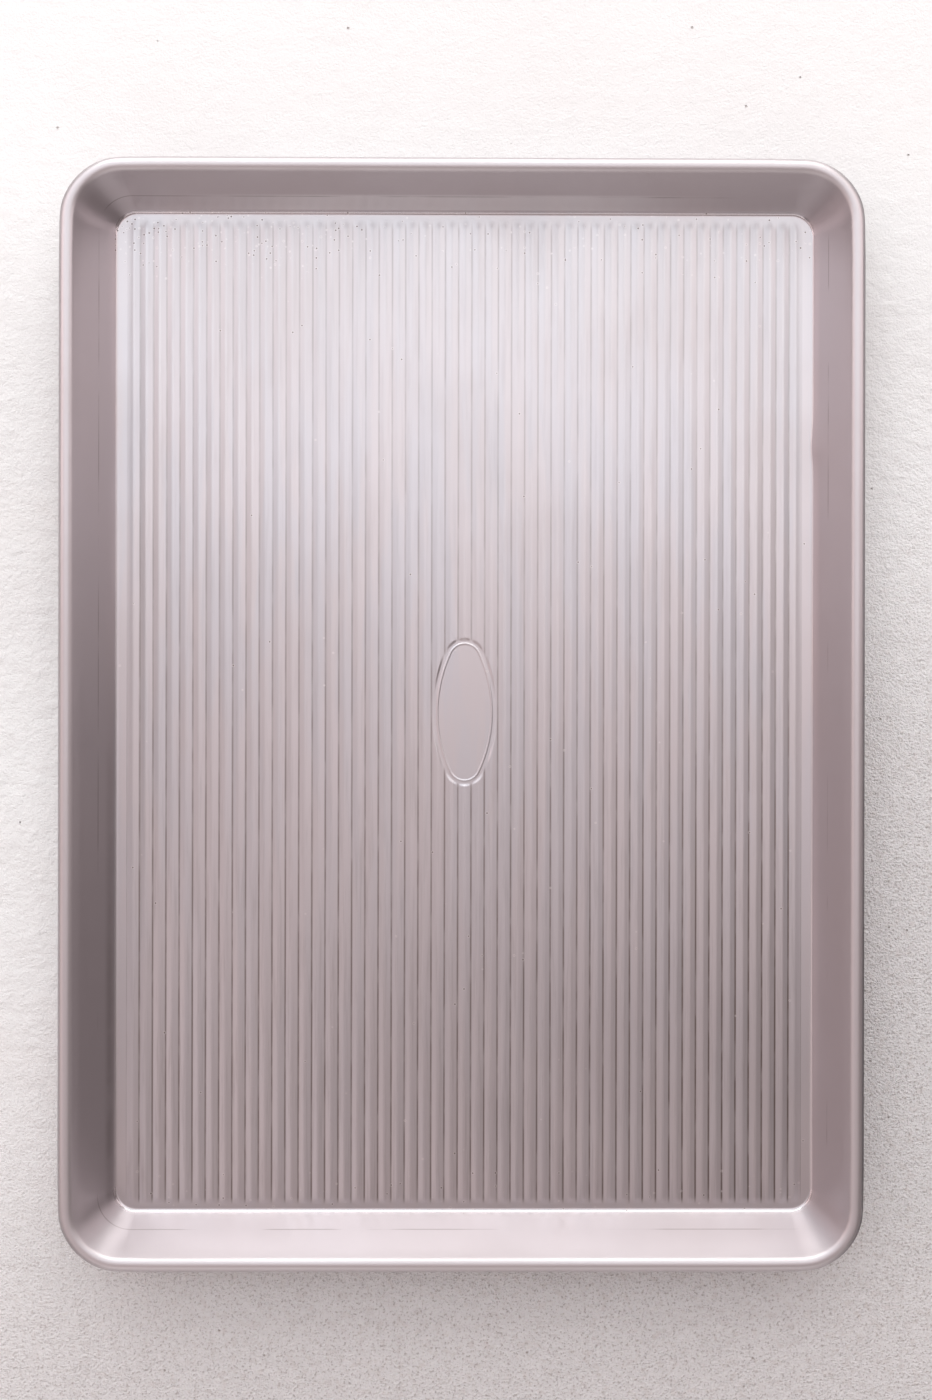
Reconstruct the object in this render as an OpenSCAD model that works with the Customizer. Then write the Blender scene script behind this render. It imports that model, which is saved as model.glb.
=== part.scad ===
// Fluted jelly roll pan: one pressed steel sheet with a rolled rim, and the steel wire
// that the rim is rolled round. X runs across the flutes, Y along them and Z up, and
// the origin is the middle of the underside. All sizes are in millimetres.

/* [Overall size] */
// Width over the rolled rim, across the flutes
pan_w = 330; // [260:1:420]
// Length over the rolled rim, along the flutes
pan_l = 456; // [340:1:620]
// Height from the table to the top of the rolled rim
pan_h = 26; // [18:0.5:36]
// Thickness of the steel sheet
sheet_t = 0.8; // [0.5:0.05:1.2]

/* [Walls] */
// Lean of the walls, outward from upright, in degrees
wall_lean = 25; // [12:1:34]
// Radius of the pan's corners, over the rolled rim
rim_corner_r = 26.5; // [24:0.5:45]
// Inside radius of the fold between the floor and a wall
fold_r = 1.75; // [1:0.25:4]

/* [Rolled rim] */
// Diameter of the wire inside the rim
wire_d = 5; // [2.5:0.1:6]
// Clearance between the wire and the sheet rolled round it
wire_fit = 0.05; // [0.05:0.01:0.2]
// Gap between the wall and the sheet's rolled edge
curl_gap = 0.4; // [0.2:0.05:0.8]
// Gap between the butted ends of the wire
wire_gap = 0.8; // [0.4:0.1:3]

/* [Flutes] */
// Pitch from one flute to the next
flute_pitch = 5.62; // [4.5:0.02:8]
// Height of a flute above the floor
flute_h = 0.45; // [0.3:0.05:0.6]
// Width of the flat crease between two flutes
crease_w = 0.3; // [0.2:0.05:1]
// Least flat floor left beside the outermost flutes
side_margin = 4; // [3:0.5:20]
// Flat floor left past the ends of the flutes
end_margin = 3; // [3:0.5:30]
// Run of the slope that ends each flute
flute_run = 1.6; // [0.8:0.1:4]

/* [Oval pad] */
// Width of the flat oval in the middle of the floor
oval_w = 22; // [18:0.2:48]
// Length of the flat oval
oval_l = 57; // [44:0.2:120]
// Radius of the oval's two ends
oval_end_r = 6; // [4:0.5:8]
// Width of the raised border round the oval
border_w = 1; // [0.6:0.1:3]
// Height of the raised border above the floor
border_h = 0.25; // [0.1:0.05:0.6]
// Flat floor between the border and the flutes
border_margin = 1; // [0.5:0.1:4]

/* [Hidden] */
// Facets of a full circle, and of the broad ones under the flutes
$fn = 72;
broad_fn = 144;
// Steps along the arcs of the sheet's section
fold_steps = 8;
curl_steps = 30;
// Steps along each of the oval's four arcs
oval_steps = 8;
// How deep a flute or the oval's border is rooted in the floor
root = 0.02;
// How far a cutting shape runs past what it cuts
past = 1;

// Rolled rim, in the wall's section: u runs outward from a corner's centre, and z up
curl_in = wire_d / 2 + wire_fit;
curl_out = curl_in + sheet_t;
curl_u = rim_corner_r - curl_out;
curl_z = pan_h - curl_out;
// Angle at the curl's centre between the wall's top and the sheet's rolled edge
curl_open = acos((curl_in - curl_gap) / curl_out);

// Floor: where the wall's inner face would meet it without the fold
wall_run = (curl_z + curl_out * sin(wall_lean) - sheet_t) * tan(wall_lean);
floor_corner_r = curl_u - curl_out * cos(wall_lean) - wall_run;
corner_x = pan_w / 2 - rim_corner_r;
corner_y = pan_l / 2 - rim_corner_r;
floor_w = 2 * (corner_x + floor_corner_r);
floor_l = 2 * (corner_y + floor_corner_r);

// Fold: centre of its two arcs
fold_u = floor_corner_r - fold_r * tan(45 - wall_lean / 2);
fold_z = sheet_t + fold_r;

// Flutes: a row of equal arcs, each with its groove in the underside
flute_count = floor((floor_w - 2 * side_margin) / flute_pitch);
flute_w = flute_pitch - crease_w;
flute_arc_r = (pow(flute_w / 2, 2) + pow(flute_h, 2)) / (2 * flute_h);
flute_l = floor_l - 2 * end_margin;
flute_top = sheet_t + flute_h;

// A point on a circle round the origin
function on_circle(r, angle) = [r * cos(angle), r * sin(angle)];

// Points along an arc, less as many as are skipped at each end
function arc(centre, r, from, to, steps, skipped = 0) = [
    for (i = [skipped : steps - skipped]) centre + on_circle(r, from + (to - from) * i / steps)
];

// Section of the sheet from a corner's centre outward: floor, fold, wall and curl.
// It goes out along the sheet's lower face and comes back along its upper one.
module sheet_section() {
    fold = [fold_u, fold_z];
    curl = [curl_u, curl_z];
    curl_start = 180 - wall_lean;
    curl_end = curl_start - 360 + curl_open;
    polygon(concat(
        [[0, 0]],
        arc(fold, fold_r + sheet_t, -90, -wall_lean, fold_steps),
        arc(curl, curl_in, curl_start, curl_end, curl_steps),
        arc(curl, curl_out, curl_end, curl_start, curl_steps),
        arc(fold, fold_r, -wall_lean, -90, fold_steps),
        [[0, sheet_t]]
    ));
}

// A quarter turn of a section at each of the pan's four corners
module at_corners() {
    for (quarter = [0 : 3]) {
        sx = quarter == 0 || quarter == 3 ? 1 : -1;
        sy = quarter < 2 ? 1 : -1;
        translate([sx * corner_x, sy * corner_y, 0]) rotate([0, 0, 90 * quarter])
            rotate_extrude(angle = 90) children();
    }
}

// Walls and rim: the section run along the four sides and turned at the four corners
module walls() {
    for (side = [0, 180]) rotate([0, 0, side]) {
        translate([corner_x, corner_y, 0]) rotate([90, 0, 0])
            linear_extrude(height = 2 * corner_y) sheet_section();
        translate([-corner_x, corner_y, 0]) rotate([90, 0, 90])
            linear_extrude(height = 2 * corner_x) sheet_section();
    }
    at_corners() sheet_section();
}

// Outline of the oval pad, drawn with four arcs and grown by the same width all round
module oval(grow = 0) {
    end_y = oval_l / 2 - oval_end_r;
    half_w = oval_w / 2;
    side_r = (pow(end_y, 2) + pow(half_w, 2) - pow(oval_end_r, 2)) / (2 * (half_w - oval_end_r));
    side_x = side_r - half_w;
    turn = atan(end_y / side_x);
    polygon(concat(
        arc([-side_x, 0], side_r + grow, -turn, turn, oval_steps, 1),
        arc([0, end_y], oval_end_r + grow, turn, 180 - turn, oval_steps),
        arc([side_x, 0], side_r + grow, 180 - turn, 180 + turn, oval_steps, 1),
        arc([0, -end_y], oval_end_r + grow, 180 + turn, 360 - turn, oval_steps)
    ));
}

// What lies under the arcs of the flutes, sloped off at both ends and cut away over the
// oval and the clear width round it. Lowered by the sheet's thickness, it is the row of
// grooves in the underside.
module flute_row(clear) {
    end_y = flute_l / 2;
    slope_y = end_y - flute_run;
    difference() {
        intersection() {
            for (i = [0 : flute_count - 1]) {
                translate([(i - (flute_count - 1) / 2) * flute_pitch, 0, 0]) rotate([90, 0, 0])
                    linear_extrude(height = flute_l + 2 * past, center = true) intersection() {
                        translate([0, flute_top - flute_arc_r])
                            circle(r = flute_arc_r, $fn = broad_fn);
                        translate([-flute_pitch / 2, sheet_t - root])
                            square([flute_pitch, flute_h + past]);
                    }
            }
            rotate([90, 0, 90]) linear_extrude(height = floor_w, center = true) polygon([
                [-end_y, sheet_t - past],
                [-end_y, sheet_t],
                [-slope_y, flute_top],
                [-slope_y, flute_top + past],
                [slope_y, flute_top + past],
                [slope_y, flute_top],
                [end_y, sheet_t],
                [end_y, sheet_t - past]
            ]);
        }
        linear_extrude(height = flute_top + past) oval(clear);
    }
}

// The pressed sheet: flat floor with its flutes, grooves and oval pad, walls and rim
module pan_body() {
    clear = border_w + border_margin;
    color("gainsboro") difference() {
        union() {
            walls();
            translate([-corner_x, -corner_y, 0]) cube([2 * corner_x, 2 * corner_y, sheet_t]);
            flute_row(clear);
            translate([0, 0, sheet_t - root]) linear_extrude(height = border_h + root) difference() {
                oval(border_w);
                oval();
            }
        }
        translate([0, 0, -sheet_t]) flute_row(clear + sheet_t);
    }
}

// The wire inside the rim, closed to a hoop but for the gap between its butted ends
module rim_wire() {
    side_x = corner_x + curl_u;
    end_y = corner_y + curl_u;
    color("darkgray") {
        for (s = [-1, 1]) translate([-corner_x, s * end_y, curl_z]) rotate([0, 90, 0])
            cylinder(d = wire_d, h = 2 * corner_x);
        translate([-side_x, corner_y, curl_z]) rotate([90, 0, 0])
            cylinder(d = wire_d, h = 2 * corner_y);
        for (s = [-1, 1]) translate([side_x, s * corner_y, curl_z]) rotate([90 * s, 0, 0])
            cylinder(d = wire_d, h = corner_y - wire_gap / 2);
        at_corners() translate([curl_u, curl_z]) circle(d = wire_d);
    }
}

pan_body();
rim_wire();
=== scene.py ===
# %% [markdown]
# # A fluted jelly roll pan
# A jelly roll pan is one sheet of coated steel. A press stamps long flutes into its floor, so that it
# stays flat when it is hot, and draws up its four walls. Then the edge is rolled round a wire.
# This lesson dresses the plain CAD model of such a pan: the sheet is made again with rounder flutes and
# the marks of its use, the steel gets its satin coating, and a soft window light shows both.

# %% Load the packed part
import math

import bmesh
import bpy
import numpy as np
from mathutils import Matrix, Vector
from mathutils.geometry import delaunay_2d_cdt


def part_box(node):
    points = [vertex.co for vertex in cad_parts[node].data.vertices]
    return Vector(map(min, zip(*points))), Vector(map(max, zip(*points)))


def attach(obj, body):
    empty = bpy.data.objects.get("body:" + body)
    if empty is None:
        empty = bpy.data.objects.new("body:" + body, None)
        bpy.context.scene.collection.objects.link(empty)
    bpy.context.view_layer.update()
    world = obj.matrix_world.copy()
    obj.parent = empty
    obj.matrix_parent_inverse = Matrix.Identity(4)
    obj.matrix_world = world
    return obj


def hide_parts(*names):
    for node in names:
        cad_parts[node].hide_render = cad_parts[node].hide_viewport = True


MM = 0.001
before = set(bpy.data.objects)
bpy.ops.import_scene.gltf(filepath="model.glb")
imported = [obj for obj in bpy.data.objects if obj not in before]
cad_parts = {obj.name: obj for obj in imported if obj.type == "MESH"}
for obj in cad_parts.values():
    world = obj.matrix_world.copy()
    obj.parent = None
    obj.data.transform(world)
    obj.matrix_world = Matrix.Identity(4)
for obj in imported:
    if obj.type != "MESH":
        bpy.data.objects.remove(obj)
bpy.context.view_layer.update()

# %% [markdown]
# ## Sizes
# The walls, the folds and the rolled rim follow the CAD model, so the sizes below are the ones that
# it is built from. They are in millimetres, because that is how a press tool is drawn, and each mesh
# is scaled to metres once it is drawn. `u` runs outward from the centre of a corner.

# %% Sizes of the pan, in millimetres
body_low, body_high = (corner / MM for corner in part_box("pan_body"))
PAN_W, PAN_L, PAN_H = body_high - body_low
SHEET_T = 0.8
WALL_LEAN = math.radians(25)
RIM_CORNER_R = 26.5
FOLD_R = 1.75
CURL_IN = 2.55
CURL_OUT = CURL_IN + SHEET_T
CURL_GAP = 0.4
CURL_U = RIM_CORNER_R - CURL_OUT
CURL_Z = PAN_H - CURL_OUT
CURL_OPEN = math.acos((CURL_IN - CURL_GAP) / CURL_OUT)
CORNER_X = PAN_W / 2 - RIM_CORNER_R
CORNER_Y = PAN_L / 2 - RIM_CORNER_R
WALL_RUN = (CURL_Z + CURL_OUT * math.sin(WALL_LEAN) - SHEET_T) * math.tan(WALL_LEAN)
FLOOR_CORNER_R = CURL_U - CURL_OUT * math.cos(WALL_LEAN) - WALL_RUN
FOLD_U = FLOOR_CORNER_R - FOLD_R * math.tan(math.pi / 4 - WALL_LEAN / 2)
FOLD_Z = SHEET_T + FOLD_R
print(f"pan {PAN_W:.1f} x {PAN_L:.1f} x {PAN_H:.1f} mm, flat floor to {CORNER_X + FOLD_U:.2f} mm")

# %% [markdown]
# ## A small helper for node trees
# A formula written with Math nodes takes a line for each node and two for its links. `Field` wraps a
# socket so that `+`, `-`, `*` and `/` add the nodes and the links by themselves, and a rule in a node
# tree then reads like the formula on paper. It works in geometry trees and in material trees alike.

# %% Fields: sockets that take part in sums
class Field:
    """A socket that can be reckoned with: each sum adds one Math node."""

    def __init__(self, tree, socket):
        self.tree = tree
        self.socket = socket

    def maths(self, operation, *others):
        made = self.tree.nodes.new("ShaderNodeMath")
        made.operation = operation
        for slot, value in zip(made.inputs, (self, *others)):
            plug(self.tree, slot, value)
        return Field(self.tree, made.outputs[0])

    def __add__(self, other):
        return self.maths("ADD", other)

    def __sub__(self, other):
        return self.maths("SUBTRACT", other)

    def __mul__(self, other):
        return self.maths("MULTIPLY", other)

    def __truediv__(self, other):
        return self.maths("DIVIDE", other)

    def above(self, floor=0.0):
        return self.maths("MAXIMUM", floor)

    def size(self):
        return self.maths("ABSOLUTE")

    def ramp(self, start, end, low=0.0, high=1.0, smooth=True):
        """Goes from low to high while the field goes from start to end."""
        kind = "SMOOTHSTEP" if smooth else "LINEAR"
        sockets = {"Value": self, "From Min": start, "From Max": end, "To Min": low, "To Max": high}
        made = node(self.tree, "ShaderNodeMapRange", sockets, interpolation_type=kind)
        return Field(self.tree, made.outputs[0])


def plug(tree, slot, value):
    """Fills an input with a number or a colour, or links it to a field or a socket."""
    if isinstance(value, Field):
        value = value.socket
    if isinstance(value, bpy.types.NodeSocket):
        tree.links.new(value, slot)
    else:
        slot.default_value = value


def node(tree, kind, sockets=None, **options):
    """Adds a node with its options set and its named inputs filled."""
    made = tree.nodes.new(kind)
    for name, value in options.items():
        setattr(made, name, value)
    for name, value in (sockets or {}).items():
        plug(tree, made.inputs[name], value)
    return made


print("a field can", ", ".join(name for name in vars(Field) if not name.startswith("_")))

# %% [markdown]
# A tree for a shape has one named input for each of its sizes. It is run on an object once, its result
# is kept as a plain mesh, and the object goes, so that nothing is left to be worked out again later.

# %% Trees for shapes
def shape_tree(name, sizes, objects=()):
    """A Geometry Nodes tree with one named input for each size, and its group input node."""
    tree = bpy.data.node_groups.new(name, "GeometryNodeTree")
    tree.interface.new_socket("Geometry", in_out="INPUT", socket_type="NodeSocketGeometry")
    tree.interface.new_socket("Geometry", in_out="OUTPUT", socket_type="NodeSocketGeometry")
    for label in sizes:
        tree.interface.new_socket(label, in_out="INPUT", socket_type="NodeSocketFloat")
    for label in objects:
        tree.interface.new_socket(label, in_out="INPUT", socket_type="NodeSocketObject")
    return tree, tree.nodes.new("NodeGroupInput")


def finish_tree(tree, geometry, material):
    """Ends a tree in Realize Instances and Set Material."""
    real = node(tree, "GeometryNodeRealizeInstances", {"Geometry": geometry})
    done = node(tree, "GeometryNodeSetMaterial", {"Geometry": real.outputs[0], "Material": material})
    tree.links.new(done.outputs[0], tree.nodes.new("NodeGroupOutput").inputs[0])


def grow(base, tree, values):
    """Runs a tree on an object and returns the result as a plain mesh. The object goes."""
    modifier = base.modifiers.new(tree.name, "NODES")
    modifier.node_group = tree
    for item in tree.interface.items_tree:
        if item.in_out == "INPUT" and item.name in values:
            modifier[item.identifier] = values[item.name]
    ready = base.evaluated_get(bpy.context.evaluated_depsgraph_get())
    mesh = bpy.data.meshes.new_from_object(ready)
    base.modifiers.remove(modifier)
    bpy.data.objects.remove(base)
    print(f"{tree.name}: {len(mesh.vertices)} points, {len(mesh.polygons)} faces")
    return mesh


print("to build with:", ", ".join(helper.__name__ for helper in (shape_tree, finish_tree, grow)))

# %% Lines to build on, and the two metals
def line_object(name, points, closed):
    """An object of edges alone, drawn through points that are given in millimetres."""
    count = len(points)
    last = count if closed else count - 1
    mesh = bpy.data.meshes.new(name)
    places = [[MM * value for value in point] for point in points]
    mesh.from_pydata(places, [(i, (i + 1) % count) for i in range(last)], [])
    made = bpy.data.objects.new(name, mesh)
    bpy.context.scene.collection.objects.link(made)
    return made


sheet_finish = bpy.data.materials.new("coated_steel")
wire_finish = bpy.data.materials.new("galvanised_wire")
print("materials to fill in later:", sheet_finish.name, wire_finish.name)

# %% [markdown]
# ## The walls and the rolled rim
# On the real pan the wall, its fold and the rolled rim have the same section all the way round. Three
# ways would make it: a loft in code, a bevelled curve, or a section that Geometry Nodes run along a
# path. The last is the clearest, because the section and the path are each drawn once. The section
# goes out along the sheet's lower face, round the inside of the curl, and back along the upper face. It
# starts with a narrow strip of the floor, to which the pressed floor is welded later.

# %% Draw the section
FOLD_STEPS = 8
CURL_STEPS = 30
WALL_STEPS = 5
FLOOR_STRIP = 0.6


def arc(centre, radius, start, end, steps):
    angles = np.linspace(start, end, steps + 1)
    return [(centre[0] + radius * math.cos(a), centre[1] + radius * math.sin(a)) for a in angles]


def between(start, end, steps):
    """The points inside a straight line, without its two ends."""
    return [tuple(np.add(start, np.subtract(end, start) * i / steps)) for i in range(1, steps)]


def sheet_section():
    fold, curl = (FOLD_U, FOLD_Z), (CURL_U, CURL_Z)
    curl_start = math.pi - WALL_LEAN
    curl_end = curl_start - 2 * math.pi + CURL_OPEN
    low_fold = arc(fold, FOLD_R + SHEET_T, -math.pi / 2, -WALL_LEAN, FOLD_STEPS)
    inside = arc(curl, CURL_IN, curl_start, curl_end, CURL_STEPS)
    outside = arc(curl, CURL_OUT, curl_end, curl_start, CURL_STEPS)
    high_fold = arc(fold, FOLD_R, -WALL_LEAN, -math.pi / 2, FOLD_STEPS)
    return [
        (FOLD_U - FLOOR_STRIP, 0),
        *low_fold,
        *between(low_fold[-1], inside[0], WALL_STEPS),
        *inside,
        *outside,
        *between(outside[-1], high_fold[0], WALL_STEPS),
        *high_fold,
        (FOLD_U - FLOOR_STRIP, SHEET_T),
    ]


section_points = sheet_section()
print(f"section of {len(section_points)} points, rolled edge {CURL_GAP} mm from the wall")

# %% [markdown]
# The path is a rounded rectangle through the middle of the curl. Its points lie closer together in
# the corners and near the small dent in the right-hand wall, and a short first step at each end of a
# corner's arc keeps the section square to the straight side beside it.

# %% Draw the path and run the section along it
CORNER_ANGLES = (0, 1, 3, 7, 12.5, 18.5, 25, 31.5, 38.5, 45, 51.5, 58.5, 65, 71.5, 77.5, 83, 87, 89, 90)
SIDE_STEP = 14
CLOSEST = 2.5
DENT_Y = 112
DENT_STEPS = range(-24, 27, 3)


def side_points(half, extra=()):
    """Places along a straight side, without its two ends and with the extra ones."""
    steps = round(2 * half / SIDE_STEP)
    places = [half - 2 * half * i / steps for i in range(1, steps)]
    kept = [p for p in places if all(abs(p - e) > CLOSEST for e in extra)]
    return sorted([*kept, *extra])


def path_points():
    dent = [DENT_Y + step for step in DENT_STEPS]
    right = [(CORNER_X + CURL_U, y) for y in side_points(CORNER_Y, dent)]
    top = [(-x, CORNER_Y + CURL_U) for x in side_points(CORNER_X)]
    left = [(-CORNER_X - CURL_U, -y) for y in side_points(CORNER_Y)]
    bottom = [(x, -CORNER_Y - CURL_U) for x in side_points(CORNER_X)]
    points = []
    for quarter, side in enumerate((top, left, bottom, right)):
        sx = 1 if quarter in (0, 3) else -1
        sy = 1 if quarter < 2 else -1
        for angle in CORNER_ANGLES:
            turn = math.radians(angle + 90 * quarter)
            x = sx * CORNER_X + CURL_U * math.cos(turn)
            y = sy * CORNER_Y + CURL_U * math.sin(turn)
            points.append((x, y))
        points += side
    return [(x, y, 0) for x, y in points]


def sweep_tree():
    tree, given = shape_tree("run_section_along_path", (), objects=("Section",))
    path = node(tree, "GeometryNodeMeshToCurve", {"Mesh": given.outputs["Geometry"]})
    level = node(tree, "GeometryNodeSetCurveNormal", {"Curve": path.outputs[0]}, mode="Z_UP")
    drawn = node(tree, "GeometryNodeObjectInfo", {"Object": given.outputs["Section"]})
    section = node(tree, "GeometryNodeMeshToCurve", {"Mesh": drawn.outputs["Geometry"]})
    swept = node(
        tree,
        "GeometryNodeCurveToMesh",
        {"Curve": level.outputs[0], "Profile Curve": section.outputs[0]},
    )
    finish_tree(tree, swept.outputs[0], sheet_finish)
    return tree


section = line_object("section", [(u - CURL_U, -z, 0) for u, z in section_points], closed=False)
rim_path = line_object("rim_path", path_points(), closed=True)
wall_mesh = grow(rim_path, sweep_tree(), {"Section": section})
bpy.data.objects.remove(section)
wall_places = np.array([v.co for v in wall_mesh.vertices]) / MM
print("walls in mm:", wall_places.min(axis=0).round(2), wall_places.max(axis=0).round(2))

# %% [markdown]
# ## The blank of the floor
# The flutes are ridges with nearly flat flanks, so they need points only where the section bends:
# along the crest, at the crease between two flutes and where a flute ends. A plain grid would waste
# most of its points. Here the lines that matter are drawn first, and a constrained Delaunay fill joins
# them: columns along the flutes, rings round the oval, and the inner edge of the walls as the outline.

# %% Lay out the lines of the blank
FLUTE_COUNT = 51
FLUTE_PITCH = 5.62
FLUTE_H = 0.45
CREST_HALF = 0.85
CREASE_HALF = 0.25
ROW_HALF = FLUTE_COUNT * FLUTE_PITCH / 2
END_MARGIN = 1.2
FLUTE_RUN = 3.6
FAR_RUN = 5.1
OUTER_FLUTE = 0.5
OVAL_W = 22.0
OVAL_L = 57.0
OVAL_END_R = 6.0
BORDER_W = 1.1
BORDER_H = 0.19
BORDER_GAP = 0.8
BORDER_RUN = 1.2
# rings round the oval: the step along each, and how far each is grown
RING_STEP = 0.33
RING_SPREAD = (-1.6, -0.8, -0.3, -0.1, 0.03, 0.14, 0.26, 0.38, 0.48, 0.55, 0.62, 0.72, 0.84, 0.96,
               1.07, 1.2, 1.4, 1.6, 1.8, 2.0, 2.2, 2.4, 2.6, 2.8, 3.0, 3.2, 3.4, 3.6, 3.9, 4.2)
RING_GAP = 0.15
ROW_GAP = 0.2
LEEWAY = 0.001
# rows of points across the flutes: how far in from the floor's edge, and the y of those further in
END_ROWS = (1.2, 1.7, 2.2, 2.7, 3.2, 3.7, 4.2, 4.8, 5.5, 6.3)
MIDDLE_ROWS = (160, 100, 45)
# lines along the flutes: how far from each crest, and how far in from the row's left edge
CREST_LINES = (-0.85, -0.6, -0.3, 0, 0.3, 0.6, 0.85)
CREASE_LINES = (2.56, 2.64, 2.725, 2.81, 2.895, 2.98, 3.06)
EDGE_LINES = (0, 0.085, 0.17, 0.25)

end_y = OVAL_L / 2 - OVAL_END_R
half_w = OVAL_W / 2
side_r = (end_y ** 2 + half_w ** 2 - OVAL_END_R ** 2) / (2 * (half_w - OVAL_END_R))
side_x = side_r - half_w
side_turn = math.atan2(end_y, side_x)
print(f"{FLUTE_COUNT} flutes over {2 * ROW_HALF:.1f} mm, the oval's sides turn on {side_r:.1f} mm")

# %% Draw the lines
def oval_ring(grow):
    """Points round the oval, grown by the same width all round, at even steps along each arc."""
    arcs = (
        ((-side_x, 0), side_r + grow, -side_turn, side_turn),
        ((0, end_y), OVAL_END_R + grow, side_turn, math.pi - side_turn),
        ((side_x, 0), side_r + grow, math.pi - side_turn, math.pi + side_turn),
        ((0, -end_y), OVAL_END_R + grow, math.pi + side_turn, 2 * math.pi - side_turn),
    )
    points = []
    for centre, radius, start, end in arcs:
        steps = round((radius - grow + 1) * (end - start) / RING_STEP)
        points += arc(centre, radius, start, end, steps)[:-1]
    return points


def oval_reach(x, grow):
    """How far the grown oval reaches along the flutes at a given x, or None beside it."""
    x = abs(x)
    side = (side_r + grow) ** 2 - (x + side_x) ** 2
    cap = (OVAL_END_R + grow) ** 2 - x ** 2
    if side <= 0:
        return None
    y = math.sqrt(side)
    on_cap = side_x * y > end_y * (x + side_x)
    return end_y + math.sqrt(cap) if on_cap and cap > 0 else y


def column_places():
    """The x of each line along the flutes, with the close lines where the section bends."""
    crests = [(i - (FLUTE_COUNT - 1) / 2) * FLUTE_PITCH for i in range(FLUTE_COUNT)]
    places = {round(crest + bend, 4) for crest in crests for bend in (*CREST_LINES, *CREASE_LINES)}
    places |= {round(-ROW_HALF + step, 4) for step in EDGE_LINES}
    return sorted(x for x in places if x < ROW_HALF + LEEWAY)


def column_rows(x):
    """The y of each point on a line along the flutes, from one end to the other or to the oval."""
    over = max(abs(x) - CORNER_X, 0)
    rows = []
    for margin in END_ROWS:
        spare = (FOLD_U - margin) ** 2 - over ** 2
        if spare > 0:
            rows.append(CORNER_Y + math.sqrt(spare))
    rows += MIDDLE_ROWS
    reach = oval_reach(x, RING_SPREAD[-1] + RING_GAP)
    if reach is None:
        return [[*rows, 0, *(-y for y in reversed(rows))]]
    half = [y for y in rows if y > reach + ROW_GAP] + [reach]
    return [half, [-y for y in reversed(half)]]


print(len(column_places()), "lines along the flutes,", len(RING_SPREAD), "rings round the oval")

# %% Fill the blank
INSIDE_ONLY = 1
SAME_PLACE = 1e-5


def wall_edge(mesh):
    """The upper inner edge of the walls, in order round the pan, in millimetres."""
    bm = bmesh.new()
    bm.from_mesh(mesh)
    open_edges = [e for e in bm.edges if e.is_boundary and e.verts[0].co.z > SHEET_T * MM / 2]
    following = {}
    for edge in open_edges:
        for vert in edge.verts:
            following.setdefault(vert, []).append(edge.other_vert(vert))
    start = open_edges[0].verts[0]
    ordered = [start]
    step = following[start][0]
    while step is not start:
        before = ordered[-1]
        ordered.append(step)
        step = next(v for v in following[step] if v is not before)
    edge_points = [(v.co.x / MM, v.co.y / MM) for v in ordered]
    bm.free()
    return edge_points


def blank_of_floor():
    points, edges = [], []

    def add_line(line, closed):
        first = len(points)
        points.extend(line)
        count = len(line)
        last = count if closed else count - 1
        edges.extend((first + i, first + (i + 1) % count) for i in range(last))

    add_line(wall_edge(wall_mesh), closed=True)
    for spread in RING_SPREAD:
        add_line(oval_ring(spread), closed=True)
    for x in column_places():
        for rows in column_rows(x):
            add_line([(x, y) for y in rows], closed=False)
    flat = [Vector(point) for point in points]
    filled, _, faces, *_ = delaunay_2d_cdt(flat, edges, [], INSIDE_ONLY, SAME_PLACE)
    mesh = bpy.data.meshes.new("floor_blank")
    mesh.from_pydata([(MM * p.x, MM * p.y, MM * SHEET_T) for p in filled], [], faces)
    made = bpy.data.objects.new("floor_blank", mesh)
    bpy.context.scene.collection.objects.link(made)
    return made


blank = blank_of_floor()
print(f"blank: {len(blank.data.vertices)} points, {len(blank.data.polygons)} triangles")

# %% [markdown]
# ## Pressing the floor
# The press tool follows a rule, so Geometry Nodes press the blank: each point is lifted by a height
# that is worked out from where it lies. `a` is its distance from the nearest crest, which Ping-Pong
# gives at once, and `b` its distance from the nearest crease. The flank is straight, and a square of
# the part past each limit rounds the crest and the crease. The flutes fade towards the floor's edge,
# most slowly at the far end, and round the oval, whose low border is a rounded bead. The outermost
# flute on each side is lower than the others. The oval itself stays flat and bare.

# %% The press
FLUTED = "fluted"
BEAD_POWER = 1.4


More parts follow.
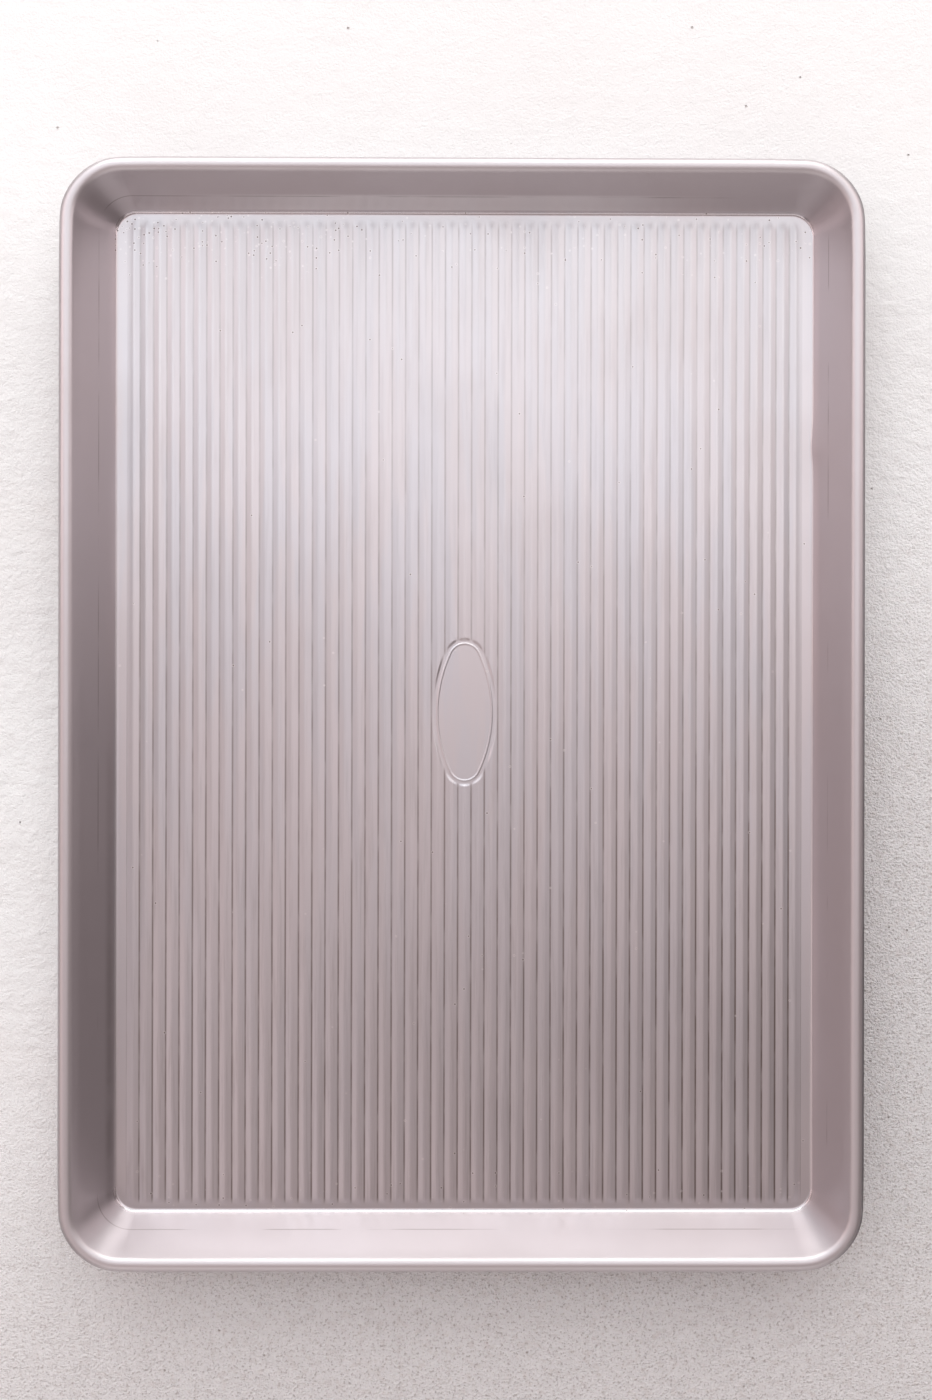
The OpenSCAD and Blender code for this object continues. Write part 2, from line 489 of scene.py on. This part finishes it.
def press_tree(sizes):
    tree, given = shape_tree("press_the_floor", sizes)
    size = {label: Field(tree, given.outputs[label]) for label in sizes}
    position = tree.nodes.new("GeometryNodeInputPosition").outputs[0]
    place = node(tree, "ShaderNodeSeparateXYZ", {"Vector": position})
    x, y = (Field(tree, place.outputs[axis]).size() for axis in "XY")

    # flutes: b - e/2 along the flank, with a rounded crease of half width e and crest of half width c
    crest, crease = size["Crest Half Width"], size["Crease Half Width"]
    a = x.maths("PINGPONG", size["Flute Pitch"] / 2)
    b = size["Flute Pitch"] / 2 - a
    round_crease = (crease - b).above().maths("POWER", 2) / (crease * 2)
    round_crest = (crest - a).above().maths("POWER", 2) / (crest * 2)
    slope = size["Flute Height"] * 2 / (size["Flute Pitch"] - crease - crest)
    flute = (b - crease / 2 + round_crease - round_crest) * slope

    # how much of a flute is left: by the distance to the floor's edge, whose corners are round
    over_x = (x - size["Corner X"]).above()
    over_y = (y - size["Corner Y"]).above()
    edge = size["Corner Radius"] - (over_x * over_x + over_y * over_y).maths("SQRT")
    far = Field(tree, place.outputs["Y"]).maths("GREATER_THAN", 0.0)
    run = size["Flute Run"] + (size["Far Run"] - size["Flute Run"]) * far
    ends = edge.ramp(size["End Margin"], size["End Margin"] + run)
    row_half = size["Row Half Width"]
    inside = x.maths("LESS_THAN", row_half)
    outermost = x.ramp(row_half - size["Flute Pitch"], row_half, 1, size["Outer Flute"])

    # distance to the oval: from its end's centre past the line through both centres, else its side's
    past_side = x + size["Side Offset"]
    past_end = y - size["End Offset"]
    to_side = (past_side * past_side + y * y).maths("SQRT") - size["Side Radius"]
    to_end = (x * x + past_end * past_end).maths("SQRT") - size["End Radius"]
    on_end = (size["Side Offset"] * y).maths("GREATER_THAN", size["End Offset"] * past_side)
    off_oval = to_side + (to_end - to_side) * on_end
    clear = size["Border Width"] + size["Border Gap"]
    fade = off_oval.ramp(clear, clear + size["Border Run"])
    half = size["Border Width"] / 2
    across = (off_oval - half) / half
    bead = (across * across * -1 + 1).above().maths("POWER", BEAD_POWER) * size["Border Height"]

    fluted = ends * inside * fade * outermost
    lift = flute * fluted + bead
    offset = node(tree, "ShaderNodeCombineXYZ", {"Z": lift})
    pressed = node(
        tree,
        "GeometryNodeSetPosition",
        {"Geometry": given.outputs["Geometry"], "Offset": offset.outputs[0]},
    )
    noted = node(
        tree,
        "GeometryNodeStoreNamedAttribute",
        {"Geometry": pressed.outputs[0], "Name": FLUTED, "Value": fluted},
        data_type="FLOAT",
        domain="POINT",
    )
    drop = node(tree, "ShaderNodeCombineXYZ", {"Z": size["Sheet Thickness"] * -1})
    turned = node(tree, "GeometryNodeFlipFaces", {"Mesh": pressed.outputs[0]})
    under = node(
        tree,
        "GeometryNodeTransform",
        {"Geometry": turned.outputs[0], "Translation": drop.outputs[0]},
    )
    both = tree.nodes.new("GeometryNodeJoinGeometry")
    tree.links.new(under.outputs[0], both.inputs[0])
    tree.links.new(noted.outputs[0], both.inputs[0])
    finish_tree(tree, both.outputs[0], sheet_finish)
    return tree


press_lengths = {
    "Flute Pitch": FLUTE_PITCH,
    "Flute Height": FLUTE_H,
    "Crest Half Width": CREST_HALF,
    "Crease Half Width": CREASE_HALF,
    "Row Half Width": ROW_HALF,
    "Corner X": CORNER_X,
    "Corner Y": CORNER_Y,
    "Corner Radius": FOLD_U,
    "End Margin": END_MARGIN,
    "Flute Run": FLUTE_RUN,
    "Far Run": FAR_RUN,
    "Side Offset": side_x,
    "Side Radius": side_r,
    "End Offset": end_y,
    "End Radius": OVAL_END_R,
    "Border Width": BORDER_W,
    "Border Gap": BORDER_GAP,
    "Border Run": BORDER_RUN,
    "Border Height": BORDER_H,
    "Sheet Thickness": SHEET_T,
}
press_sizes = {label: MM * length for label, length in press_lengths.items()}
press_sizes["Outer Flute"] = OUTER_FLUTE
floor_mesh = grow(blank, press_tree(press_sizes), press_sizes)
heights = np.array([v.co.z for v in floor_mesh.vertices]) / MM
print(f"floor from z {heights.min():.3f} to {heights.max():.3f} mm")

# %% [markdown]
# ## One sheet
# The floor and the walls meet along a line of shared points, on both faces of the sheet. Joining and
# welding them gives one closed sheet with no loose edge, which is what a pressed blank is. Each mesh
# numbered its materials for itself, so every face is then told to use the sheet's one material.

# %% Weld the floor to the walls
WELD = 4e-6
SHARP = math.radians(40)


def weld(name, meshes):
    bm = bmesh.new()
    for mesh in meshes:
        bm.from_mesh(mesh)
        bpy.data.meshes.remove(mesh)
    bmesh.ops.remove_doubles(bm, verts=bm.verts, dist=WELD)
    bmesh.ops.dissolve_degenerate(bm, edges=bm.edges, dist=WELD / 10)
    bmesh.ops.recalc_face_normals(bm, faces=bm.faces)
    for face in bm.faces:
        face.material_index = 0
    loose = sum(1 for e in bm.edges if len(e.link_faces) != 2)
    whole = bpy.data.meshes.new(name)
    bm.to_mesh(whole)
    volume = bm.calc_volume() / MM ** 3
    print(f"{name}: {len(bm.faces)} faces, volume {volume:.0f} mm3, open edges {loose}")
    bm.free()
    whole.materials.append(sheet_finish)
    return whole


sheet_mesh = weld("pan_sheet", [wall_mesh, floor_mesh])

# %% [markdown]
# ## Marks of use
# This pan has been handled. Something hard has pushed the right-hand wall inward where it meets the
# floor, and the rolled rim is a little uneven where the corners begin, as rolled rims are. Each mark is
# a small move of the points near it, which fades out like a bell curve. The two end walls stand a
# little steeper than the long ones, where the CAD model keeps one lean for all four.

# %% Dent the wall and loosen the rim at the corners
DENT_DEPTH = 0.75
DENT_HEIGHT = 3.2
DENT_FAR = 9.0
DENT_NEAR = 5.0
DENT_RISE = 4.5
END_SPREAD = 0.8
RIM_KINK = 0.22
KINK_PAST = 1.5
KINK_REACH = 4.0
KINK_CLEAR = 10
TINY = 1e-9


def bell(distance, width):
    return np.exp(-(distance / width) ** 2)


def mark_sheet(mesh):
    flat = np.empty(len(mesh.vertices) * 3)
    mesh.vertices.foreach_get("co", flat)
    x, y, z = (flat.reshape(-1, 3) / MM).T.copy()
    # the dent, which reaches further beyond its middle than before it
    along = np.where(y > DENT_Y, bell(y - DENT_Y, DENT_FAR), bell(y - DENT_Y, DENT_NEAR))
    near_fold = bell(z - DENT_HEIGHT, DENT_RISE) * np.clip((x - CORNER_X) / FOLD_U, 0, 1) ** 2
    dent = DENT_DEPTH * along * near_fold
    x -= dent * (x > 0)
    # the two end walls: what lies low on them moves outward, and their tops stay
    below = np.clip((CURL_Z - 2 * CURL_OUT - z) / (CURL_Z - 3 * CURL_OUT), 0, 1)
    y += END_SPREAD * np.sign(y) * below * np.clip(abs(y) / (CORNER_Y + FOLD_U), 0, 1) ** 3
    # the rim alone, from a little below its curl upward
    rim = np.clip((z - (PAN_H - 3 * CURL_OUT)) / CURL_OUT, 0, 1)
    pull = np.zeros_like(x)
    for sx in (-1, 1):
        for sy in (-1, 1):
            on_long = bell(y - sy * (CORNER_Y + KINK_PAST), KINK_REACH) * (sx * x > CORNER_X + KINK_CLEAR)
            on_short = bell(x - sx * (CORNER_X + KINK_PAST), KINK_REACH) * (sy * y > CORNER_Y + KINK_CLEAR)
            pull += on_long + on_short
    pull = -RIM_KINK * np.minimum(pull, 1) * rim
    over_x = np.maximum(abs(x) - CORNER_X, 0)
    over_y = np.maximum(abs(y) - CORNER_Y, 0)
    reach = np.hypot(over_x, over_y) + TINY
    x += pull * over_x / reach * np.sign(x)
    y += pull * over_y / reach * np.sign(y)
    mesh.vertices.foreach_set("co", (np.stack([x, y, z], axis=1) * MM).ravel())
    mesh.update()
    print(f"dent {dent.max():.2f} mm deep, rim pulled in by up to {-pull.min():.2f} mm")


mark_sheet(sheet_mesh)
sheet_mesh.shade_smooth()
sheet_mesh.set_sharp_from_angle(angle=SHARP)
pan_sheet = bpy.data.objects.new("pan_sheet", sheet_mesh)
bpy.context.scene.collection.objects.link(pan_sheet)
sheet_mesh.calc_loop_triangles()
print("pan_sheet triangles:", len(sheet_mesh.loop_triangles))

# %% [markdown]
# ## The steel and its coating
# The sheet is aluminised steel under a clear baked glaze. It is a metal, so its colour tints what it
# mirrors, and its fine grain spreads the reflection into a satin sheen. Its marks could be painted on a
# picture and wrapped round the pan. Here each mark is a rule on the place of a point instead, because
# that stays sharp near by and needs no picture. The rules read places in millimetres, as a drawing does.

# %% Helpers for finishes
FIRST_COLOUR, SECOND_COLOUR, MIXED_COLOUR = 6, 7, 2  # a Mix node has sockets for other kinds before these


def noise(tree, place, scale, detail=2.0, roughness=0.5):
    made = node(
        tree,
        "ShaderNodeTexNoise",
        {"Vector": place, "Scale": scale, "Detail": detail, "Roughness": roughness},
    )
    return Field(tree, made.outputs["Fac"])


def long_noise(tree, place, scales, detail, roughness=0.5):
    """Noise with a scale for each axis, drawn out along those that have a small one."""
    drawn_out = node(tree, "ShaderNodeMapping", {"Vector": place, "Scale": scales})
    return noise(tree, drawn_out.outputs[0], 1, detail, roughness)


def scattered(tree, place, scale):
    """The distance to the heart of the nearest of many cells, and a number drawn for that cell."""
    cells = node(tree, "ShaderNodeTexVoronoi", {"Vector": place, "Scale": scale})
    drawn = node(tree, "ShaderNodeSeparateColor", {"Color": cells.outputs["Color"]})
    return Field(tree, cells.outputs["Distance"]), Field(tree, drawn.outputs[0])


def in_millimetres(tree, place, axes="XYZ"):
    parts = node(tree, "ShaderNodeSeparateXYZ", {"Vector": place})
    return [Field(tree, parts.outputs[axis]) / MM for axis in axes]


def layered(tree, ground, coats):
    """Lays coats of colour over a ground, one after the other, each with its own share."""
    colour = ground
    for share, coat in coats:
        made = node(tree, "ShaderNodeMix", {"Factor": share}, data_type="RGBA")
        plug(tree, made.inputs[FIRST_COLOUR], colour)
        plug(tree, made.inputs[SECOND_COLOUR], coat)
        colour = made.outputs[MIXED_COLOUR]
    return colour


def blank_material(material):
    material.use_nodes = True
    tree = material.node_tree
    tree.nodes.clear()
    surface = node(tree, "ShaderNodeBsdfPrincipled")
    node(tree, "ShaderNodeOutputMaterial", {"Surface": surface.outputs[0]})
    return tree, surface, tree.nodes.new("ShaderNodeTexCoord").outputs["Object"]


def relief(tree, surface, height, strength, distance):
    bump = node(tree, "ShaderNodeBump", {"Height": height, "Strength": strength, "Distance": distance})
    plug(tree, surface.inputs["Normal"], bump.outputs[0])


class Sheet:
    """A point of the sheet as its material sees it: where it lies and what it belongs to."""

    def __init__(self, tree, place):
        self.tree = tree
        self.place = place
        self.x, self.y, self.z = in_millimetres(tree, place)
        self.on_floor = self.z.ramp(1.4, 3.0, 1, 0)
        pressed = node(tree, "ShaderNodeAttribute", attribute_name=FLUTED)
        self.fluted = Field(tree, pressed.outputs["Fac"])


print("colours are mixed from sockets", FIRST_COLOUR, "and", SECOND_COLOUR)

# %% [markdown]
# Fat and dirt bake on where a cloth doesn't reach, and streaks of wear follow the flutes towards the near
# end.
# Each crease holds a thin dark line of painted shade, which is stronger towards the near end. The heat has
# left faint bluish tints that are drawn out along the flutes too.

# %% Marks that follow the flutes
LINE_CORE = 0.14
LINE_EDGE = 0.55


# Painted shade: a thin dark line along each crease, stronger towards the near end.
def crease_painted_shade(at):
    half_pitch = FLUTE_PITCH / 2
    off_crease = at.x.size().maths("PINGPONG", half_pitch) * -1 + half_pitch
    broken = long_noise(at.tree, at.place, (300, 60, 0), 3.0).ramp(0.3, 0.6, 0.55, 1)
    crease_shade_depth = at.y.ramp(160, -120, 0.32, 0.8) + at.x.ramp(0, 130) * at.y.ramp(60, -120) * 0.2
    return off_crease.ramp(LINE_CORE, LINE_EDGE, 1, 0) * at.fluted * broken * crease_shade_depth


def wear_streaks(at):
    streaks = long_noise(at.tree, at.place, (520, 22, 0), 3.0, 0.65).ramp(0.45, 0.72)
    return streaks * at.y.ramp(50, -150, 0.35, 1) * at.fluted


def heat_tints(at):
    tints = long_noise(at.tree, at.place, (75, 7, 0), 3.0, 0.6).ramp(0.42, 0.6) * at.on_floor
    return tints * at.y.ramp(-150, 50, 0.12, 0.32) * at.y.ramp(190, 80, 0.35, 1)


print(f"dark lines {2 * LINE_CORE:.2f} to {2 * LINE_EDGE:.2f} mm wide in the creases")

# %% [markdown]
# Tiny specks of burnt food sit on the floor, each with a paler ring round it. They gather along the far
# end, towards its left corner, and a few lie at the near end. Each is the heart of a scattered cell,
# and the number drawn for a cell decides whether its speck is shown.

# %% Specks on the floor
SPECK_SCALE = 520.0
STRAY_SHARE = 0.004
NEAR_SHARE = 0.10


def specks(at):
    off_heart, drawn = scattered(at.tree, at.place, SPECK_SCALE)
    speck = off_heart.ramp(0.12, 0.26, 1, 0)
    ring = off_heart.ramp(0.26, 0.42, 1, 0) - speck
    gathered = noise(at.tree, at.place, 130, 2.0).ramp(0.45, 0.62, 0.25, 1)
    far_end = at.y.ramp(178, 203) * at.x.ramp(-120, 0, 0.95, 0.22) * gathered
    near_end = at.y.ramp(-190, -203) * gathered * NEAR_SHARE
    shown = drawn.maths("LESS_THAN", far_end + near_end + STRAY_SHARE) * at.on_floor
    return speck * shown, ring * shown


print(f"cells about {1 / SPECK_SCALE / MM:.1f} mm wide")

# %% [markdown]
# Stacked pans rub a line round the walls. Low on the far wall lies a paler band of painted light, and a
# brown stain runs along the foot of the left-hand wall near the camera. The outer side of the rolled rim
# is darkened with painted shade, on the right-hand side most, and more so towards the near end.

# %% Marks on the walls and the rim
RUB_Z = 10.6
RUB_CORE = 0.1
RUB_EDGE = 0.35
NO_REACH = 0.001


def rubbing_line(at):
    worn = long_noise(at.tree, at.place, (30, 30, 0), 2.0).ramp(0.45, 0.6)
    return (at.z - RUB_Z).size().ramp(RUB_CORE, RUB_EDGE, 1, 0) * worn


# Painted light: a paler band low on the far wall.
def far_wall_painted_light(at):
    at_far_wall = at.y.ramp(CORNER_Y + 6, CORNER_Y + 8) * (at.x + 10).size().ramp(40, 130, 1, 0)
    return at_far_wall * at.z.ramp(2.2, 3.2) * at.z.ramp(10.5, 12.5, 1, 0)


def foot_stain(at):
    foot = at.x.ramp(-150, -147.5, 1, 0) * at.z.ramp(1.1, 1.8) * at.z.ramp(3.0, 7.5, 1, 0)
    return foot * at.y.ramp(40, -120) * noise(at.tree, at.place, 55, 3.0).ramp(0.3, 0.6, 0.4, 1)


# Painted shade: the outer side of the rolled rim is darkened, most on the right and towards the near end.
def rim_painted_shade(at):
    over_x = (at.x.size() - CORNER_X).above()
    over_y = (at.y.size() - CORNER_Y).above()
    reach = (over_x * over_x + over_y * over_y).maths("SQRT")
    outer = reach.ramp(RIM_CORNER_R - 2.0, RIM_CORNER_R - 0.35)
    right = at.x.maths("GREATER_THAN", 0.0)
    rim_shade_depth = right * at.y.ramp(180, -180, 0.30, 0.66) + 0.34
    return outer * (over_x / (reach + NO_REACH)).ramp(0.3, 1) * rim_shade_depth


print(f"rubbing line at {RUB_Z} mm above the table")

# %% [markdown]
# The coats of colour are laid one over the other, from the broad ones to the small ones. How rough the
# steel is decides how far it spreads a reflection: the rim's is roughest, and the folds at both ends are
# pressed hardest and are a little smoother.

# %% Fill in the steel
SHEET_COLOUR = (0.615, 0.58, 0.595, 1)
WORN_COLOUR = (0.595, 0.555, 0.565, 1)
TINT_COLOUR = (0.53, 0.565, 0.62, 1)
FAR_WALL_LIGHT_COLOUR = (0.82, 0.81, 0.82, 1)
CREASE_COLOUR = (0.20, 0.165, 0.155, 1)
RIM_SHADE_COLOUR = (0.042, 0.034, 0.042, 1)
SPECK_COLOUR = (0.16, 0.13, 0.12, 1)
RING_COLOUR = (0.8, 0.76, 0.76, 1)
FLOOR_ROUGHNESS = 0.33
WALL_ROUGHNESS = 0.35
RIM_ROUGHNESS = 0.42
GRAIN_SHARE = 0.05
GRAIN_ALLOWANCE = 0.03


def sheet_roughness(at, grain, patches, streaks, speck):
    at_rim = at.z.ramp(CURL_Z - CURL_OUT, CURL_Z)
    rough = at.on_floor * (FLOOR_ROUGHNESS - WALL_ROUGHNESS) + at_rim * (RIM_ROUGHNESS - WALL_ROUGHNESS)
    pressed = at.z.ramp(0.82, 1.0) * at.z.ramp(1.8, 2.4, 1, 0) * at.fluted.ramp(0, 0.1, 1, 0)
    pressed = pressed * at.y.size().ramp(198, 206)
    rough = rough + (WALL_ROUGHNESS - GRAIN_ALLOWANCE) - pressed * 0.12
    return rough + grain * GRAIN_SHARE + patches * 0.04 + streaks * 0.06 + speck * 0.2


def fill_sheet_finish():
    tree, surface, place = blank_material(sheet_finish)
    at = Sheet(tree, place)
    patches = noise(tree, place, 14, 3.0).ramp(0.42, 0.66)
    peel = noise(tree, place, 900, 2.0, 0.6)
    grain = noise(tree, place, 2600, 1.0)
    streaks = wear_streaks(at)
    rub = rubbing_line(at)
    speck, ring = specks(at)
    coats = (
        (patches * 0.6, WORN_COLOUR),
        (heat_tints(at), TINT_COLOUR),
        # painted light low on the far wall
        (far_wall_painted_light(at) * 0.8, FAR_WALL_LIGHT_COLOUR),
        (rub * 0.45, CREASE_COLOUR),
        (foot_stain(at) * 0.5, CREASE_COLOUR),
        (streaks * 0.22, CREASE_COLOUR),
        # painted shade along the creases
        (crease_painted_shade(at), CREASE_COLOUR),
        # painted shade on the outer side of the rim
        (rim_painted_shade(at), RIM_SHADE_COLOUR),
        (speck * 0.75, SPECK_COLOUR),
        (ring * 0.5, RING_COLOUR),
    )
    plug(tree, surface.inputs["Base Color"], layered(tree, SHEET_COLOUR, coats))
    plug(tree, surface.inputs["Roughness"], sheet_roughness(at, grain, patches, streaks, speck))
    surface.inputs["Metallic"].default_value = 1.0
    surface.inputs["Coat Weight"].default_value = 0.15
    surface.inputs["Coat Roughness"].default_value = 0.25
    height = peel * 0.5 + grain * 0.5 - speck * 0.8 + rub * 0.3
    relief(tree, surface, height, 0.16, 0.06 * MM)
    print("coated steel:", len(tree.nodes), "nodes,", len(coats), "coats of colour")


fill_sheet_finish()

# %% [markdown]
# The wire is plain galvanised steel. It hardly shows, but through the gap under the curl its dull zinc
# can be seen, with the soft mottling of its crystals.

# %% Fill in the wire
ZINC_COLOUR = (0.52, 0.53, 0.55, 1)
DULL_ZINC_COLOUR = (0.40, 0.41, 0.43, 1)


def fill_wire_finish():
    tree, surface, place = blank_material(wire_finish)
    mottle = noise(tree, place, 600, 3.0)
    coats = ((mottle.ramp(0.35, 0.65), DULL_ZINC_COLOUR),)
    plug(tree, surface.inputs["Base Color"], layered(tree, ZINC_COLOUR, coats))
    plug(tree, surface.inputs["Roughness"], mottle * 0.2 + 0.35)
    surface.inputs["Metallic"].default_value = 1.0
    relief(tree, surface, mottle, 0.2, 0.1 * MM)
    print("galvanised wire:", len(tree.nodes), "nodes")


fill_wire_finish()
rim_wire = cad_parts["rim_wire"]
for material_slot in rim_wire.material_slots:
    material_slot.material = wire_finish

# %% [markdown]
# ## Table, window and camera
# The pan lies on a pale plastered board. Most of the light comes from a large window beyond the pan's
# far end, so the floor fades from far to near, the far wall is dim and the near wall is bright. Area
# lamps make that light, because a metal shows what it mirrors and their soft edges look like a window's.
# The ceiling and the walls of the room are lamps too, dim and warm. The camera looks straight down.

# %% Lay the table
TABLE_HALF = 1.5
TABLE_DROP = 0.0001
TABLE_COLOUR = (0.92, 0.95, 0.945, 1)
TABLE_SHADE = (0.86, 0.875, 0.87, 1)
TABLE_WARM = (0.85, 0.80, 0.755, 1)
TABLE_PAINTED_LIGHT = (0.95, 0.95, 0.95, 1)
TABLE_CLOT = (0.68, 0.60, 0.55, 1)
TABLE_PAINTED_SHADE = (0.84, 0.835, 0.83, 1)
TABLE_GRAIN = (0.34, 0.29, 0.26, 1)
TABLE_PIT = (0.42, 0.34, 0.31, 1)


def fill_table_finish(material):
    tree, surface, place = blank_material(material)
    x, y = in_millimetres(tree, place, "XY")
    toward_near_right = y * -1 + x * 0.7
    near = toward_near_right.ramp(-120, 300)
    broad = noise(tree, place, 5, 4.0, 0.55)
    warm = noise(tree, place, 17, 5.0, 0.6).ramp(0.48, 0.72) * near.ramp(0, 1, 0.25, 1)
    trowel = long_noise(tree, place, (45, 100, 30), 6.0, 0.65)
    lumps = noise(tree, place, 140, 5.0, 0.7)
    sand = noise(tree, place, 900, 2.0, 0.7)
    clots = noise(tree, place, 240, 3.0, 0.6).ramp(0.5, 0.68) * near
    off_heart, drawn = scattered(tree, place, 260.0)
    pit = off_heart.ramp(0.08, 0.16, 1, 0) * drawn.maths("LESS_THAN", near * 0.025 + 0.006)
    coats = (
        (broad.ramp(0.4, 0.65), TABLE_SHADE),
        (warm * 0.55, TABLE_WARM),
        (trowel.ramp(0.52, 0.66) * 0.6, TABLE_SHADE),
        # Painted light: the board is made lighter towards the near right.
        (toward_near_right.ramp(-150, 250), TABLE_PAINTED_LIGHT),
        (clots * 0.22, TABLE_CLOT),
        (sand.ramp(0.54, 0.68) * near.ramp(0, 1, 0.05, 0.5), TABLE_GRAIN),
        # Painted shade: the board is made darker at its far end.
        (y.ramp(120, 300) * 0.75, TABLE_PAINTED_SHADE),
        (pit * 0.6, TABLE_PIT),
    )
    plug(tree, surface.inputs["Base Color"], layered(tree, TABLE_COLOUR, coats))
    surface.inputs["Roughness"].default_value = 0.85
    surface.inputs["Specular IOR Level"].default_value = 0.2
    trowelled = (trowel * 0.9 + lumps) * y.ramp(250, 100, 0.3, 1)
    relief(tree, surface, trowelled + sand * near.ramp(0, 1, 0.2, 1.6) - pit, 0.9, 1.6 * MM)


plaster = bpy.data.materials.new("pale_plaster")
fill_table_finish(plaster)
table_mesh = bpy.data.meshes.new("table")
signs = ((-1, -1), (1, -1), (1, 1), (-1, 1))
corners = [(sx * TABLE_HALF, sy * TABLE_HALF, -TABLE_DROP) for sx, sy in signs]
table_mesh.from_pydata(corners, [], [(0, 1, 2, 3)])
table_mesh.materials.append(plaster)
table = bpy.data.objects.new("table", table_mesh)
bpy.context.scene.collection.objects.link(table)
print("table", 2 * TABLE_HALF, "m square")

# %% Hang the lamps
DAYLIGHT = (1.00, 0.99, 0.98)
SKY = (0.88, 0.95, 1.00)
WARM_WALL = (1.00, 0.87, 0.88)
ROSY_WALL = (1.00, 0.78, 0.76)
WINDOW = (1.6, 0.8)
SIDE_WINDOW = (0.95, 0.65)
SIDE_WALL = (1.3, 0.6)
NEAR_WALL = (1.6, 0.5)
CORNER_WALL = (0.7, 0.5)
SIDE_CEILING = (0.9, 0.9)
LAMPS = {  # degrees round and above the pan, distance, size, power, colour
    "window_low": (90, 15, 1.4, (1.6, 0.55), 4.7, DAYLIGHT),
    "window_middle": (90, 30, 1.4, WINDOW, 8.4, DAYLIGHT),
    "window_top": (90, 68, 1.4, WINDOW, 3.5, SKY),
    "window_left": (128, 28, 1.4, SIDE_WINDOW, 1.3, SKY),
    "window_left_high": (128, 52, 1.4, SIDE_WINDOW, 1.1, SKY),
    "window_right_high": (52, 52, 1.4, SIDE_WINDOW, 1.1, DAYLIGHT),
    "ceiling": (90, 90, 1.8, (1.2, 1.2), 1.8, WARM_WALL),
    "ceiling_left": (180, 70, 1.6, SIDE_CEILING, 1.0, WARM_WALL),
    "ceiling_right": (0, 70, 1.6, SIDE_CEILING, 1.2, WARM_WALL),
    "left": (180, 28, 1.3, SIDE_WALL, 2.1, ROSY_WALL),
    "left_high": (180, 50, 1.3, SIDE_WALL, 0.5, WARM_WALL),
    "right": (0, 28, 1.3, SIDE_WALL, 0.2, ROSY_WALL),
    "far_left": (152, 28, 0.95, CORNER_WALL, 0.9, WARM_WALL),
    "far_right": (28, 28, 0.95, CORNER_WALL, 1.4, WARM_WALL),
    "near_high": (270, 52, 1.4, NEAR_WALL, 0.9, ROSY_WALL),
    "near_middle": (270, 32, 1.4, NEAR_WALL, 1.8, DAYLIGHT),
    "near_low": (270, 13, 1.4, NEAR_WALL, 1.3, WARM_WALL),
    "near_left": (225, 38, 1.3, (1.0, 0.8), 0.9, WARM_WALL),
}
ROOM_COLOUR = (1.00, 0.85, 0.83, 1)
ROOM_STRENGTH = 0.2
PAN_MIDDLE = Vector((0, 0, 0))


def hang_lamp(name, place, size, power, colour):
    data = bpy.data.lights.new(name, "AREA")
    data.shape = "RECTANGLE"
    data.size, data.size_y = size
    data.energy = power
    data.color = colour
    lamp = bpy.data.objects.new(name, data)
    lamp.location = place
    lamp.rotation_mode = "QUATERNION"
    lamp.rotation_quaternion = (PAN_MIDDLE - Vector(place)).to_track_quat("-Z", "Y")
    lamp.visible_camera = False
    bpy.context.scene.collection.objects.link(lamp)


def round_the_pan(azimuth, height, distance):
    """A place at so many degrees round and above the pan, at a distance from its middle."""
    turn, lift = math.radians(azimuth), math.radians(height)
    return (
        distance * math.cos(lift) * math.cos(turn),
        distance * math.cos(lift) * math.sin(turn),
        distance * math.sin(lift),
    )


for name, (azimuth, height, distance, size, power, colour) in LAMPS.items():
    hang_lamp(name, round_the_pan(azimuth, height, distance), size, power, colour)


def fill_world():
    """The dim room round the table, which the pan mirrors and which is the background of every view."""
    world = bpy.data.worlds.new("room")
    bpy.context.scene.world = world
    world.use_nodes = True
    tree = world.node_tree
    tree.nodes.clear()
    room = node(tree, "ShaderNodeBackground", {"Color": ROOM_COLOUR, "Strength": ROOM_STRENGTH})
    node(tree, "ShaderNodeOutputWorld", {"Surface": room.outputs[0]})


fill_world()
bpy.context.scene.view_settings.view_transform = "Standard"
print("lamps:", ", ".join(LAMPS))

# %% [markdown]
# The photograph was taken from about 62 cm above the table, and later cropped off centre, which the
# camera's shift repeats. The pan's rim and floor, at their two heights, fix both the height and the lens.

# %% Place the camera
SENSOR = 36.0
LENS = 37.6
SHIFT_X = -0.05164
SHIFT_Y = -0.0424
CAMERA_PLACE = (0.0273, 0.0309, 0.6217)
CAMERA_TURN = (-0.047, -0.364, 0.109)
CLIP_START = 0.05
CLIP_END = 20
camera_data = bpy.data.cameras.new("camera")
camera_data.sensor_width = SENSOR
camera_data.lens = LENS
camera_data.shift_x = SHIFT_X
camera_data.shift_y = SHIFT_Y
camera_data.clip_start = CLIP_START
camera_data.clip_end = CLIP_END
camera = bpy.data.objects.new("camera", camera_data)
camera.location = CAMERA_PLACE
camera.rotation_euler = tuple(math.radians(turn) for turn in CAMERA_TURN)
bpy.context.scene.collection.objects.link(camera)
bpy.context.scene.camera = camera
print("camera at", CAMERA_PLACE, "with a lens of", LENS, "mm")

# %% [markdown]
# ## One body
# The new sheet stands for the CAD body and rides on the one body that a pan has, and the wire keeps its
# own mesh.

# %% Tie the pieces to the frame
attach(pan_sheet, "root")
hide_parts("pan_body")
